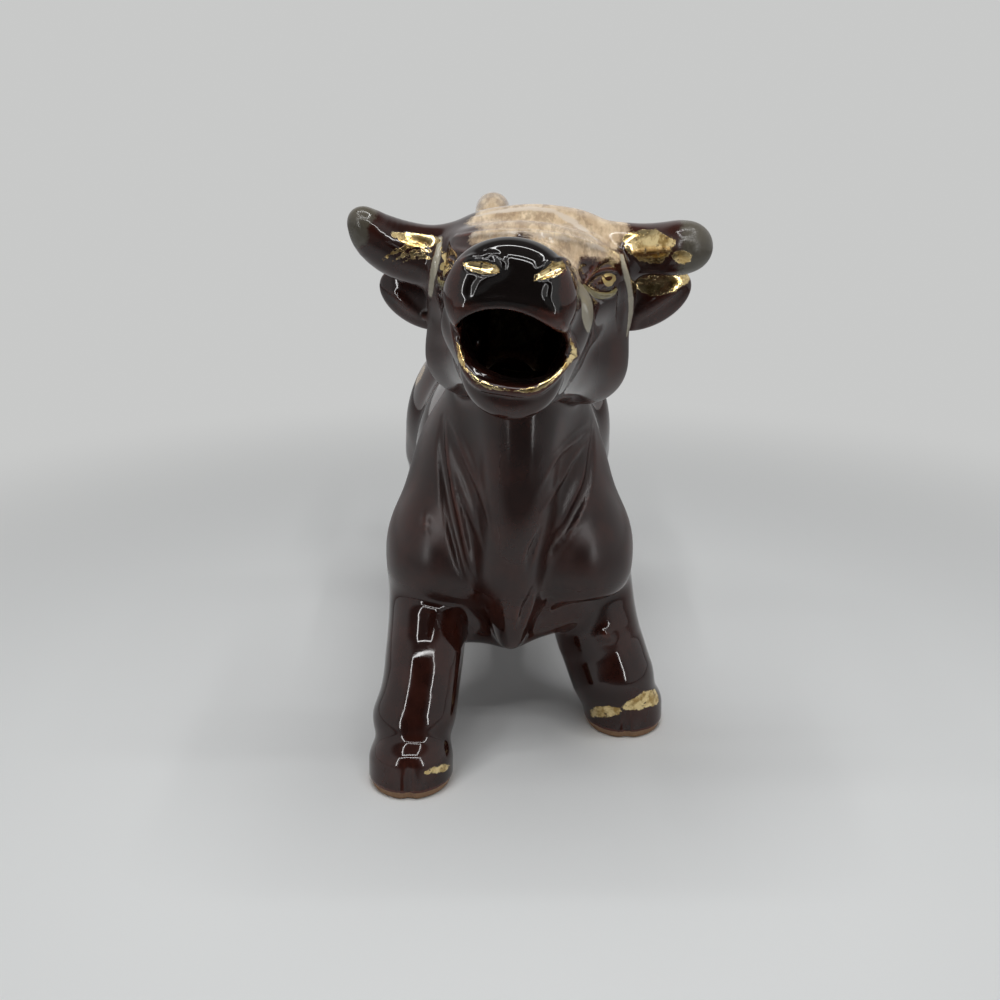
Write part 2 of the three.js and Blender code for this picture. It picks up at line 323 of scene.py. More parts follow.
face = blended(
    limb(5, [[-13, -3, 4.4, 5.6], [-4.5, -9, 6, 5.8], [4, -9.5, 6.2, 5.8], [13.5, -4, 4, 5.6]], 2),
    (7, bar([0, -6, -1, 11.5], [-0.4, -30, 1, 9.5])),  # bridge of the nose
    (5, drum([-0.5, -31, 2.6], [11.6, 10], 11, 5, turned("X", 90 - NOSE_TILT))),  # nose pad
    (6, bar([0, 4, -10, 10], [0.2, -26, -9.5, 9])),  # jaw
    (5, drum([0.2, -26.5, -9.8], [9.2, 9.6], 10.5, 4, turned("X", 90))),  # lower lip
    (6, ellipsoid([-0.6, -25, -4.4], [12.6, 10, 7.5])),  # corners of the mouth
    (6, mirrored(cheek)),
)
head = nearby(
    blended(in_frame(SKULL, skull), (5, in_frame(MUZZLE, face))),
    [[*HEAD_CENTRE, 28], [HEAD_CENTRE[0], HEAD_CENTRE[1] - 16, HEAD_CENTRE[2], 28]],
)
mouth = in_frame(MUZZLE, ellipsoid([0.3, -40, -4.8], [9.9, 20, 6.5], turned("Y", 12)))
plain_body = blended(torso, (12, throat), (9, keel), (4, head))

HORNS = {
    "left": [[13, 3, 6, 6.2], [22, 0, 7.1, 4.7], [28, -3.5, 7.9, 4.7], [31, -6, 8.6, 4.5]],
    "right": [[-13, 3, 4.5, 7], [-20, 1, 5, 5.8], [-26, -0.5, 6.6, 5.3],
              [-30.2, -3, 9.4, 4.3], [-32.6, -5, 12.6, 2.7]],
}
EARS = {
    "left": {"centre": [23.5, 8, -3.8], "radii": [9.6, 2.8, 5.6], "roll": -28},
    "right": {"centre": [-23.5, 8, -4.6], "radii": [9.2, 2.8, 5.6], "roll": 28},
}
LEGS = {
    "foreleg_left": {
        "bones": [[17, -22, 40, 9.6], [19.8, -25.6, 23.5, 8.7], [21.6, -26, 18, 8],
                  [23.8, -28.4, 11.5, 8.9]],
        "hoof": [26.6, -28],
    },
    "foreleg_right": {
        "bones": [[-17, -26, 42, 9], [-17.8, -32, 32.5, 8.2], [-18.6, -42.5, 24.2, 7.5],
                  [-19.4, -46.8, 17.5, 7], [-20.5, -50, 12.2, 7.6]],
        "hoof": [-21.3, -54.7],
    },
    "hindleg_left": {
        "bones": [[17, 49, 44, 11], [18.5, 60, 24, 6.8], [18.8, 54, 12.2, 7.2]],
        "hoof": [19.2, 51],
    },
    "hindleg_right": {
        "bones": [[-17, 46, 44, 11], [-18.5, 55, 24, 6.8], [-18.8, 47, 12.2, 7.2]],
        "hoof": [-19.2, 43],
    },
}
HOOF = {"height": 1.0, "radii": [9.0, 9.6], "half": 8.6, "edge": 5.0, "lean": 14}
FETLOCK = {"out": 0.5, "radii": [8.5, 9.0, 6.4]}
TAIL = [
    [0, 60, 70, 5.4], [-1, 69, 84, 4.8], [-2.3, 72, 95, 4.2], [-3.2, 67, 105, 4],
    [-4.1, 57, 109.4, 4], [-4.3, 46, 107.6, 4], [-4.1, 36.5, 100, 4.4],
    [-3.4, 31, 91, 5.4], [-2.6, 29, 83, 6], [-2, 27, 77, 4.4],
]


def leg_form(bones, hoof):
    x, y, z = bones[-1][:3]
    out = math.copysign(FETLOCK["out"], x)
    ankle = ellipsoid([x + out, y + FETLOCK["out"], z], FETLOCK["radii"])
    foot = drum([*hoof, HOOF["height"]], HOOF["radii"], HOOF["half"], HOOF["edge"],
                turned("X", -HOOF["lean"]))
    whole = blended(limb(4, bones), (3, ankle), (5, foot))
    return nearby(whole, [*bones, [*hoof, 0, HOOF["radii"][1]]])


horn_forms = {side: in_frame(SKULL, nearby(limb(2, HORNS[side]), HORNS[side])) for side in HORNS}
ear_forms = {
    side: in_frame(SKULL, ellipsoid(ear["centre"], ear["radii"], turned("Y", ear["roll"])))
    for side, ear in EARS.items()
}
leg_forms = {name: leg_form(**leg) for name, leg in LEGS.items()}
tail_form = nearby(limb(3, TAIL), TAIL)


# Skins: a field of distances becomes a mesh

CORNERS = np.float32([[1, 1, 1], [1, -1, -1], [-1, 1, -1], [-1, -1, 1]])
SLOPE_STEP = 0.06


def sampled(field, p, step):
    """The slope of a field from four points round each point, and their mean value."""
    values = [field(p + step * corner) for corner in CORNERS]
    slopes = sum(value[:, None] * corner for value, corner in zip(values, CORNERS)) / (4 * step)
    return slopes, sum(values) / 4


def gradient(field, p):
    return sampled(field, p, SLOPE_STEP)[0]


def onto(field, p, limit, rounds=2):
    """Points moved along the slope of a field until they lie where it is zero."""
    for _ in range(rounds):
        slope = gradient(field, p)
        square = np.einsum("ij,ij->i", slope, slope) + TINY
        move = -(field(p) / square)[:, None] * slope
        far = np.maximum(length(move) / limit, 1)
        p = p + move / far[:, None]
    return p


BLOCK = 8  # grid points in a block's edge
SAFETY = 1.7  # a block is skipped only where its middle is this much too far from the skin
CHUNK = 400_000  # points that are worked out at a time


def grid_values(field, low, cell, blocks):
    """The field on a grid, worked out only in the blocks that the surface may cross."""
    middles = np.stack(np.meshgrid(*[np.arange(n) for n in blocks], indexing="ij"), -1)
    middles = low + cell * (BLOCK * middles.reshape(-1, 3) + (BLOCK - 1) / 2)
    rough = field(middles.astype(np.float32)).reshape(blocks)
    reach = SAFETY * BLOCK * cell * math.sqrt(3) / 2
    near = np.abs(rough) < reach
    for axis in range(3):
        rough = rough.repeat(BLOCK, axis)
        near = near.repeat(BLOCK, axis)
    at = np.argwhere(near)
    points = (low + cell * at).astype(np.float32)
    found = [field(points[i:i + CHUNK]) for i in range(0, len(points), CHUNK)]
    rough[tuple(at.T)] = np.concatenate(found)
    return rough


CELL_CORNERS = [(i, j, k) for i in (0, 1) for j in (0, 1) for k in (0, 1)]


def crossed_cells(inside):
    """The cells of a grid that have corners on both sides of the skin."""
    def shifted(corner):
        return inside[tuple(slice(c, n - 1 + c) for c, n in zip(corner, inside.shape))]

    count = sum(shifted(corner).astype(np.int8) for corner in CELL_CORNERS)
    return np.argwhere((count > 0) & (count < len(CELL_CORNERS)))


def cell_points(values, cells):
    """For each cell the middle of the points where its edges cross the skin."""
    total, crossings = np.zeros((len(cells), 3)), np.zeros(len(cells))
    for axis in range(3):
        for corner in CELL_CORNERS:
            if corner[axis]:
                continue
            end = list(corner)
            end[axis] = 1
            first, last = values[tuple((cells + corner).T)], values[tuple((cells + end).T)]
            crossed = (first < 0) != (last < 0)
            point = np.array(corner, float)[None].repeat(len(cells), 0)
            point[:, axis] += np.where(crossed, first / np.where(crossed, first - last, 1), 0)
            total += point * crossed[:, None]
            crossings += crossed
    return cells + total / crossings[:, None]


def edge_faces(inside, index):
    """A face for each grid edge that crosses the skin, from the four cells round it."""
    size = inside.shape
    quads = []
    for axis in range(3):
        second, third = (axis + 1) % 3, (axis + 2) % 3
        here = [slice(1, n - 1) for n in size]
        here[axis] = slice(0, size[axis] - 1)
        there = list(here)
        there[axis] = slice(1, size[axis])
        starts, ends = inside[tuple(here)], inside[tuple(there)]
        at = np.argwhere(starts != ends)
        backwards = ends[tuple(at.T)]
        at[:, second] += 1
        at[:, third] += 1

        def around(b, c):
            q = at.copy()
            q[:, second] += b
            q[:, third] += c
            return index[tuple(q.T)]

        faces = np.stack([around(-1, -1), around(0, -1), around(0, 0), around(-1, 0)], 1)
        faces[backwards] = faces[backwards][:, ::-1]
        quads.append(faces)
    return np.concatenate(quads)


def surface(field, low, high, cell):
    """A closed skin of quads where the field is zero, between two corners of a box."""
    blocks = np.ceil((high - low) / (cell * BLOCK)).astype(int)
    values = grid_values(field, low, cell, blocks)
    inside = values < 0
    cells = crossed_cells(inside)
    index = np.full([n - 1 for n in values.shape], -1)
    index[tuple(cells.T)] = np.arange(len(cells))
    points = (low + cell * cell_points(values, cells)).astype(np.float32)
    return onto(field, points, limit=cell), edge_faces(inside, index)


# Strokes: beads and grooves that follow the skin. Those that the photograph shows are
# given by its pixels and fall on the skin along the camera's rays.

SLOPE = math.radians(CAMERA_DOWN)
FORWARD = np.array([0, math.cos(SLOPE), -math.sin(SLOPE)])
RIGHT = np.array([1.0, 0, 0])
UP = np.array([0, math.sin(SLOPE), math.cos(SLOPE)])
RAY_START = 180.0  # the bull is further from the camera than this
RAY_STEPS = 70
RAY_CARE = 0.8  # share of the distance to the skin that a ray goes at a step
RAY_STRIDE = (-2, 5)  # the least and the most of a step
BEAD_MARGIN = 3.0
LEAST_RADIUS = 0.02


def seen(pixels, skin):
    """Where pixels of the photograph fall on a skin."""
    middle = PHOTO_SIZE / 2
    across = (pixels[:, 0] - middle) / PHOTO_FOCAL
    up = (middle - pixels[:, 1]) / PHOTO_FOCAL
    rays = FORWARD + across[:, None] * RIGHT + up[:, None] * UP
    rays /= length(rays)[:, None]
    reach = np.full(len(rays), RAY_START)
    for _ in range(RAY_STEPS):
        spots = (np.array(CAMERA_AT) + reach[:, None] * rays).astype(np.float32)
        reach += np.clip(RAY_CARE * skin(spots), *RAY_STRIDE)
    return spots


def beads(spots, radii, sink, skin):
    """A row of beads on the skin, sunk under it, or raised over it where sink is less
    than nothing."""
    slopes = gradient(skin, spots)
    spots = spots - sink * slopes / (length(slopes) + TINY)[:, None]
    stations = np.column_stack([spots, np.maximum(radii, LEAST_RADIUS)])
    bars = [bar(a, b) for a, b in zip(stations[:-1], stations[1:])]
    return nearby(lambda p: np.minimum.reduce([b(p) for b in bars]), stations, BEAD_MARGIN)


def settled(skin, spots):
    """Spots that lie off the skin, moved onto it."""
    return onto(skin, spots.astype(np.float32), limit=3.0, rounds=5)


def stroke(stations, sink, skin):
    """A stroke through stations, each x, y, z and radius, put on the skin."""
    path = smooth_path(stations, STROKE_STEPS)
    return beads(settled(skin, path[:, :3]), path[:, 3], sink, skin)


def traced(stations, sink=0.0, skin=plain_body, twin=False):
    """A stroke through pixels of the photograph, each across, down and radius in
    millimetres, with its twin on the other side of the head."""
    path = smooth_path(stations, STROKE_STEPS)
    spots = seen(path[:, :2], skin)
    first = beads(spots, path[:, 2], sink, skin)
    if not twin:
        return first
    turn, centre = MUZZLE
    other = ((spots - centre) @ turn * np.float32([-1, 1, 1])) @ turn.T + centre
    second = beads(settled(skin, other), path[:, 2], sink, skin)
    return lambda p: np.minimum(first(p), second(p))


def bead(band, stations, **given):
    return blend, band, traced(stations, **given)


def groove(band, stations, **given):
    return cut, band, traced(stations, **given)


RELIEF = 4.0  # details lie within this distance of the skin
EVERYWHERE = ([-200, -200, -200], [200, 200, 200])
FACE_REGION = ([-22, -92, 76], [30, -34, 126])
FOLD_REGION = ([-30, -64, 22], [24, -26, 96])
ROOT_REGION = ([-36, -60, 84], [44, -24, 126])


def worked(d, p, details, region):
    """A skin with details worked into it, all of them in a region: two corners."""
    near = np.abs(d) < RELIEF
    for axis, (low, high) in enumerate(zip(*region)):
        near &= (p[:, axis] > low) & (p[:, axis] < high)
    if not near.any():
        return d
    q, e = p[near], d[near]
    for shape, band, form in details:
        e = shape(e, form(q), band)
    d = d.copy()
    d[near] = e
    return d


NOSE = [
    bead(1.0, [(484, 256, .3), (496, 256, .8), (503, 263, .9), (499, 272, .9), (488, 278, .7),
               (479, 287, .8), (474, 298, .4)], sink=.35),
    bead(1.0, [(548, 262, .4), (543, 269, .8), (546, 278, .8), (551, 286, .8), (549, 297, .9),
               (556, 309, .4)], sink=.35),
    bead(1.0, [(462, 260, .3), (473, 258, .8), (486, 261, .7), (496, 265, .3)], sink=.3),
    bead(1.0, [(553, 264, .3), (560, 261, .8), (567, 262, .8), (571, 268, .3)], sink=.3),
    groove(.8, [(465, 264.5, .4), (473, 266, .9), (482, 267.5, 1.1), (491, 269, .9), (497, 270.5, .4)],
           sink=-.3),
    groove(.8, [(538, 278, .4), (545, 274, .9), (552, 270.5, 1.1), (559, 267.5, .9), (564, 265.5, .4)],
           sink=-.3),
    bead(1.2, [(453, 316, .5), (462, 307, 1.0), (482, 302, 1.0), (504, 301, 1.0), (534, 306, 1.0),
               (556, 317, 1.0), (569, 330, .5)], sink=.9),
]
LIP = [(452, 326, .6), (455, 337, .9), (459, 350, 1.0), (466, 367, 1.2), (476, 380, 1.3),
       (489, 386, 1.3), (505, 389, 1.3), (520, 390.5, 1.3), (534, 389, 1.3), (547, 381, 1.3),
       (560, 369, 1.2), (575, 355, 1.0)]
LIP_CORNER = [(575, 355, 1.0), (573, 345, .9), (568, 334, .8), (562, 325, .5)]
UPPER_LID = [(583.5, 285.5, .3), (588, 279, .45), (594, 273.5, .5), (601, 270.3, .5),
             (609, 269.2, .5), (615, 271, .35)]
LOWER_LID = [(584.5, 285.5, .3), (590, 290.5, .5), (597, 294.3, .6), (605, 295.3, .6),
             (612, 294, .5), (617, 289.5, .3)]
BROW_LINE = [(456, 236, .4), (480, 234, .9), (520, 233, 1.1), (560, 237.5, 1.1), (590, 244.5, .9),
             (611, 252, .4)]
FACE = [
    bead(.8, LIP, sink=.25),
    bead(.8, LIP_CORNER, sink=.25),
    bead(1.0, BROW_LINE, sink=.4),
    groove(1.5, [(589, 284, 1.2), (600, 281, 2.1), (612, 280, 1.7)], sink=-.9, twin=True),
    bead(.3, [(591, 285, 1.2), (600, 282.5, 2.2), (610, 281.5, 2.1)], sink=1.75, twin=True),
    bead(.35, UPPER_LID, sink=.1, twin=True),
    bead(.35, LOWER_LID, sink=.1, twin=True),
    bead(.5, [(585, 284, .3), (590, 273, .5), (597, 264, .5), (607, 257, .3)], sink=.15, twin=True),
    bead(1.2, [(577, 271, .3), (577, 264, .6), (584, 260, .8), (594, 259, .7), (603, 257, .3)],
         sink=.35, twin=True),
]
FOLD_LINES = [
    (.82, [(449, 420, .4), (459, 440, 1.3), (469, 463, 1.4), (480, 490, 1.3), (487, 513, 1.0),
           (490, 534, .3)]),
    (.82, [(447, 447, .4), (458, 478, 1.3), (470, 511, 1.4), (479, 538, 1.0), (483, 557, .3)]),
    (.8, [(446, 425, .4), (448, 455, 1.3), (454, 490, 1.5), (461, 524, 1.4), (469, 558, 1.2),
          (477, 584, .3)]),
    (.82, [(590, 426, .4), (575, 438, 1.3), (563, 448, 1.4), (554, 459, 1.3), (545, 475, 1.0),
           (536, 496, .3)]),
    (.82, [(592, 436, .4), (577, 449, 1.3), (567, 464, 1.4), (560, 479, 1.3), (550, 498, 1.0),
           (535, 522, .3)]),
    (.82, [(590, 463, .4), (577, 487, 1.3), (568, 504, 1.4), (560, 521, 1.1), (542, 547, .3)]),
    (.82, [(592, 484, .4), (580, 510, 1.3), (571, 527, 1.4), (563, 542, 1.1), (550, 563, .3)]),
]  # each with how deep it is sunk
FOLDS = [bead(1.1, line, sink=sink) for sink, line in FOLD_LINES] + [
    groove(1.0, [(540, 528, .4), (534, 545, 1.0), (530, 557, 1.0), (527, 572, .3)], sink=-.45),
    groove(1.0, [(556, 538, .4), (550, 551, .9), (545, 562, .3)], sink=-.4),
    groove(1.2, [(593, 420, .4), (592, 450, 1.2), (587, 484, 1.2), (574, 514, 1.0), (560, 540, .3)],
           sink=-.5),
    groove(1.2, [(442, 418, .4), (441, 450, 1.2), (446, 490, 1.3), (453, 530, 1.2), (462, 568, .8),
                 (471, 590, .3)], sink=-.5),
    groove(1.4, [(532, 590, .4), (526, 608, 1.2), (520, 626, .5)], sink=-.4),
    groove(1.4, [(549, 599, .4), (542, 614, 1.2), (535, 627, .5)], sink=-.4),
    bead(1.1, [(424, 508, .5), (426, 524, 1.6), (429, 538, .5)], sink=1.1),
]


def detailed(p):
    """The body with all that is worked into its face and its throat."""
    d = worked(plain_body(p), p, NOSE + FACE, FACE_REGION)
    return worked(d, p, FOLDS, FOLD_REGION)


near_leg, far_leg = leg_forms["foreleg_right"], leg_forms["foreleg_left"]
CLAW_SIDE = 3.2  # from the middle of the fetlock to a claw


def leg_marks(name):
    """The split at the front of a hoof, and the two small claws behind the fetlock."""
    x, y = LEGS[name]["hoof"]
    ankle_x, ankle_y, ankle_z = LEGS[name]["bones"][-1][:3]
    skin, toe, heel = leg_forms[name], y - HOOF["radii"][1], ankle_y + FETLOCK["radii"][1]
    split = stroke([[x, toe, 0, .8], [x, toe, 4, .7], [x, toe + 1.5, 8, .2]], -.25, skin)
    marks = [(cut, 1.0, split)]
    for claw in (ankle_x - CLAW_SIDE, ankle_x + CLAW_SIDE):
        ends = [[claw, heel, ankle_z - 1, 1.3], [claw, heel, ankle_z - 3.5, .6]]
        marks.append((blend, 1.2, stroke(ends, .3, skin)))
    return marks


LEG_MARKS = {name: leg_marks(name) for name in LEGS}
LEG_MARKS["foreleg_left"].append(
    bead(1.6, [(600, 638, .6), (605, 634, 1.3), (610, 638, .7)], sink=.7, skin=far_leg)
)


def limb_skin(name, p):
    """A leg with its marks, over the ground as well as under it."""
    form = leg_forms[name](p)
    near = form < RELIEF
    form[near] = worked(form[near], p[near], LEG_MARKS[name], EVERYWHERE)
    return form


def share(whole, own, others, buried=None):
    """A section's part of the blended whole: the whole where its own form is nearest.
    Where another's is nearer it is its own form alone, which dives under that one."""
    rest = np.minimum.reduce(others)
    alone = own if buried is None else np.maximum(own, -rest - buried)
    return whole + ramp((own - rest) / (2 * LAP)) * (alone - whole)


def past(p, *joints):
    """How far a point is past the nearest of some joints, or 0: each with its side."""
    beyond = np.zeros(len(p), np.float32)
    for joint, side in joints:
        beyond = np.maximum(beyond, side * under(joint)(p))
    return beyond


def walled(skin, p):
    """A skin with the hollow inside it."""
    return np.maximum(skin, -(plain_body(p) + WALL))


def hollow(skin, p, beyond):
    """A hollow section that draws in past its joints and ends a lap further on."""
    return np.maximum(walled(skin, p) + TAPER * beyond, beyond - LAP)


def with_each(whole, p, forms, fillet):
    for form in forms.values():
        whole = blend(whole, form(p), fillet)
    return whole


def horned(head, p):
    head = with_each(head, p, horn_forms, FILLET["horn"])
    return with_each(head, p, ear_forms, FILLET["ear"])


def plain_head(p):
    return horned(plain_body(p), p)


BAND_LEFT = [(622, 256, .5), (626, 273, .75), (630, 290, .8), (631, 310, .8), (627, 336, .4)]
BAND_RIGHT = [(440, 238, .5), (438, 250, .85), (435, 264, 1.0), (432, 280, 1.0), (430, 295, .6)]
ROOTS = [
    bead(.6, BAND_LEFT, sink=.2, skin=plain_head),
    bead(.6, BAND_RIGHT, sink=.2, skin=plain_head),
    groove(1.2, [(620, 288, .6), (621, 308, 1.4), (619, 328, .6)], sink=-.7),
    groove(1.0, [(447, 240, .4), (444, 262, 1.0), (440, 284, .4)], sink=-.5),
    bead(1.2, [(633, 329, .4), (637, 316, 1.2), (650, 306, 1.4), (669, 293, 1.3), (685, 284, .5)],
         sink=.6, skin=plain_head),
    bead(1.2, [(432, 322, .4), (415, 312, 1.2), (398, 298, 1.2), (384, 289, .5)],
         sink=.7, skin=plain_head),
]


def filler_cut(p):
    """The oval shaft that opens the back."""
    half = np.float32([FILLER["half_width"], FILLER["half_length"]])
    q = (p[:, :2] - np.float32([0, FILLER["y"]])) / half
    ring = (length(q) - 1) * FILLER["half_width"]
    return np.maximum(ring, FILLER["floor"] - p[:, 2])


def shod(skin, p):
    """The bare clay under the glaze line draws in a little towards the flat sole."""
    bare = np.clip(SOLE_HEIGHT - p[:, 2], 0, SOLE_HEIGHT)
    skin = skin + GLAZE_STEP * ramp(bare / GLAZE_LINE) + SOLE_DRAFT * bare
    return cut(skin, p[:, 2], ROUNDING["sole"])


def barrel_whole(p, own):
    whole = with_each(own, p, leg_forms, FILLET["leg"])
    return blend(whole, tail_form(p), FILLET["tail"])


def head_whole(p, own):
    return worked(horned(own, p), p, ROOTS, ROOT_REGION)


# Fields: each is zero on the skin of one section

def barrel_field(p):
    own = detailed(p)
    others = [form(p) for form in leg_forms.values()] + [tail_form(p)]
    skin = share(barrel_whole(p, own), own, others)
    shell = hollow(skin, p, past(p, (NECK_FOOT, 1)))
    return cut(shell, filler_cut(p), ROUNDING["filler"])


def neck_field(p):
    return hollow(detailed(p), p, past(p, (NECK_FOOT, -1), (NECK_HEAD, 1)))


def head_field(p):
    own = detailed(p)
    others = [form(p) for form in (*horn_forms.values(), *ear_forms.values())]
    skin = share(head_whole(p, own), own, others)
    shell = hollow(skin, p, past(p, (NECK_HEAD, -1)))
    return cut(shell, mouth(p), ROUNDING["mouth"])


def head_part_field(form, beside):
    """A horn or an ear, with the form that it stands beside."""
    def field(p):
        body, own, other = detailed(p), form(p), beside(p)
        return share(head_whole(p, body), own, [body, other], BURIED)

    return field


def leg_field(name):
    def field(p):
        body, own = detailed(p), limb_skin(name, p)
        skin = share(blend(body, own, FILLET["leg"]), own, [body], BURIED)
        return shod(skin, p)

    return field


def tail_field(p):
    body, own = detailed(p), tail_form(p)
    return share(blend(body, own, FILLET["tail"]), own, [body], BURIED)


# Sheens: the whole round each section, so that its smooth normals run on past the joints

def barrel_sheen(p):
    return cut(walled(barrel_whole(p, detailed(p)), p), filler_cut(p), ROUNDING["filler"])


def neck_sheen(p):
    return walled(detailed(p), p)


def head_sheen(p):
    return cut(walled(head_whole(p, detailed(p)), p), mouth(p), ROUNDING["mouth"])


def leg_sheen(name):
    return lambda p: shod(blend(detailed(p), limb_skin(name, p), FILLET["leg"]), p)


def tail_sheen(p):
    return blend(detailed(p), tail_form(p), FILLET["tail"])


# Materials

CREAM = (0.44, 0.40, 0.31, 1)
# pale glaze on the crown, also used for a painted highlight along the brow ridge
MILK_AND_HIGHLIGHT = (0.66, 0.56, 0.45, 1)
OLIVE = (0.26, 0.22, 0.10, 1)
OCHRE = (0.56, 0.42, 0.17, 1)
SMOKE = (0.10, 0.088, 0.066, 1)  # thin grey glaze on the horn tips
# the black glaze of the nose pad, also painted inside the mouth opening as shade
NOSE_BLACK_AND_MOUTH_SHADE = (0.008, 0.0055, 0.005, 1)
TAN_VEIN = (0.15, 0.085, 0.05, 1)
# Each glaze where it is thick and where it is thin
BROWN_GLAZE = [(0.021, 0.006, 0.0042, 1), (0.085, 0.022, 0.0135, 1)]
SANDY_GLAZE = [(0.12, 0.06, 0.035, 1), (0.5, 0.36, 0.23, 1)]
TAN_GLAZE = [(0.52, 0.38, 0.24, 1), (0.84, 0.68, 0.47, 1)]
# The two tones that gold and bare clay vary between
GOLD = [(0.40, 0.26, 0.09, 1), (0.90, 0.72, 0.38, 1)]
CLAY = [(0.20, 0.105, 0.055, 1), (0.40, 0.24, 0.13, 1)]
CLAY_GRAIN = 0.35
CLAY_GRIT = 0.06  # how far its grains stand out
CLAY_ROUGHNESS = 0.85
EDGE_CURVE = (0.15, 1.6)  # the curvature over which a glaze runs thin
CLOUD_EDGE = (0.35, 0.72)  # where its clouds start and are full
HAZE = (0.05, 0.12)  # the roughness of the glaze, from its clearest to its haziest
GOLD_RAGGED = 2.3  # how far the edge of the gold wanders, in millimetres
GOLD_EDGE = (-0.1, 0.1)
GOLD_LIMIT = 0.76  # the noise above which unworn gold is rubbed off
GOLD_WORN = 0.35  # how much full wear lowers that
GOLD_WEAR = 0.45  # how worn it is
GOLD_TONES = (0.36, 0.6)
GOLD_ROUGHNESS = 0.08
GOLD_HEIGHT = 0.02
DULLNESS = 0.27  # how much rougher the glaze is on the chest, the cheeks and the horn tips
DULL_EDGE = (-3.0, 3.0)  # where that starts and ends
STREAKS = (1, 0.35, 0.6)  # how the tan is drawn out along the axes
VEIN_EDGE = (0.0, 0.09)  # how far from its middle a vein of the tan fades out
VEIN_STRENGTH = 0.42
SPRAY = {  # fade, grain and speckle of each paint's edge
    "milk_and_highlight": (2.2, 0.5, 0.35),
    "tan": (3.5, 0.45, 0.35),
    "nose": (3.0, 0.3, 0.2),
    "smoke": (2.5, 0.4, 0.3),
    "cream": (1.1, 0.5, 0.3),
    "lid": (0.3, 0.3, 0.1),
    "iris": (0.25, 0.3, 0.1),
    "sole": (0.5, 0.6, 0.2),
}
OVER_TAN = {"nose": NOSE_BLACK_AND_MOUTH_SHADE, "smoke": SMOKE, "cream": CREAM, "lid": OLIVE, "iris": OCHRE}


class Graph:
    """Adds nodes to a tree and gives back their outputs. A value is a number, a colour or
    another node's output."""

    def __init__(self, tree):
        self.tree = tree

    def feed(self, socket, value):
        if isinstance(value, bpy.types.NodeSocket):
            self.tree.links.new(value, socket)
        else:
            socket.default_value = value

    def new(self, kind, inputs=None, **settings):
        node = self.tree.nodes.new(kind)
        for key, value in settings.items():
            setattr(node, key, value)
        for key, value in (inputs or {}).items():
            self.feed(node.inputs[key], value)
        return node.outputs

    def add(self, kind, inputs=None, **settings):
        return self.new("ShaderNode" + kind, inputs, **settings)

    def math(self, operation, first, second=0.0, clamp=False):
        return self.add("Math", {0: first, 1: second}, operation=operation, use_clamp=clamp)[0]

    def times(self, first, second):
        return self.math("MULTIPLY", first, second)

    def plus(self, first, second, clamp=False):
        return self.math("ADD", first, second, clamp)

    def minus(self, first, second):
        return self.math("SUBTRACT", first, second)

    def mixed(self, factor, first, second):
        return self.add("Mix", {0: factor, 6: first, 7: second}, data_type="RGBA")[2]

    def between(self, factor, first, second):
        return self.add("Mix", {0: factor, 2: first, 3: second}, data_type="FLOAT")[0]

    def step(self, value, low, high, start=0.0, end=1.0):
        """From start to end, smoothly, as the value goes from low to high."""
        given = {"Value": value, "From Min": low, "From Max": high, "To Min": start, "To Max": end}
        return self.add("MapRange", given, interpolation_type="SMOOTHSTEP")["Result"]

    def noise(self, position, size, detail=2.0, roughness=0.5):
        """Noise from 0 to 1 whose patches are about as large as size, in millimetres."""
        scale = self.math("DIVIDE", 1.0, size)
        given = {"Vector": position, "Scale": scale, "Detail": detail, "Roughness": roughness}
        return self.add("TexNoise", given)["Fac"]

    def swing(self, position, size, detail=2.0, roughness=0.5):
        """Noise that goes from -0.5 to 0.5."""
        return self.minus(self.noise(position, size, detail, roughness), 0.5)

    def group(self, tree, inputs):
        return self.add("Group", inputs, node_tree=tree)


def add_socket(tree, in_out, label, kind, value=None):
    socket = tree.interface.new_socket(label, in_out=in_out, socket_type=f"NodeSocket{kind}")
    if value is not None:
        socket.default_value = value


def shader_group(name, inputs, outputs):
    """Makes a function that draws a node group into that group, built once."""
    def build(recipe):
        tree = bpy.data.node_groups.new(name, "ShaderNodeTree")
        for label, (kind, value) in inputs.items():
            add_socket(tree, "INPUT", label, kind, value)
        for label, kind in outputs.items():
            add_socket(tree, "OUTPUT", label, kind)
        given = tree.nodes.new("NodeGroupInput").outputs
        sink = tree.nodes.new("NodeGroupOutput").inputs
        for label, value in recipe(Graph(tree), given).items():
            tree.links.new(value, sink[label])
        return tree

    return build


@shader_group(
    "Glaze depth",
    {
        "Position": ("Vector", None), "Curve": ("Float", 0.0),
        "Thick": ("Color", (0, 0, 0, 1)), "Thin": ("Color", (0, 0, 0, 1)),
        "Break": ("Float", 1.0), "Cloud": ("Float", 0.5), "Patch": ("Float", 9.0),
    },
    {"Color": "Color"},
)
def glaze_depth(graph, given):
    """A glaze that is dark where it pools and lighter where it runs thin over an edge."""
    place = given["Position"]
    edge = graph.times(graph.step(given["Curve"], *EDGE_CURVE), given["Break"])
    cloud = graph.noise(place, given["Patch"], detail=4.0, roughness=0.6)
    cloud = graph.times(graph.step(cloud, *CLOUD_EDGE), given["Cloud"])
    thin = graph.plus(edge, cloud, clamp=True)
    return {"Color": graph.mixed(thin, given["Thick"], given["Thin"])}


@shader_group(
    "Sprayed edge",
    {
        "Position": ("Vector", None), "Distance": ("Float", 9.0), "Fade": ("Float", 3.0),
        "Grain": ("Float", 0.4), "Speckle": ("Float", 0.6),
    },
    {"Mask": "Float"},
)
def sprayed_edge(graph, given):
    """Coverage of a sprayed or brushed colour that thins out in fine drops at its edge."""
    place = given["Position"]
    drift = graph.times(graph.swing(place, 4.0, detail=3.0), given["Fade"])
    edge = graph.plus(given["Distance"], drift)
    half = graph.times(given["Fade"], 0.5)
    cover = graph.step(edge, graph.times(half, -1.0), half, 1.0, 0.0)
    drops = graph.times(graph.swing(place, given["Grain"]), given["Speckle"])
    broken = graph.plus(cover, graph.times(drops, 2.0))
    return {"Mask": graph.step(broken, 0.2, 0.8)}


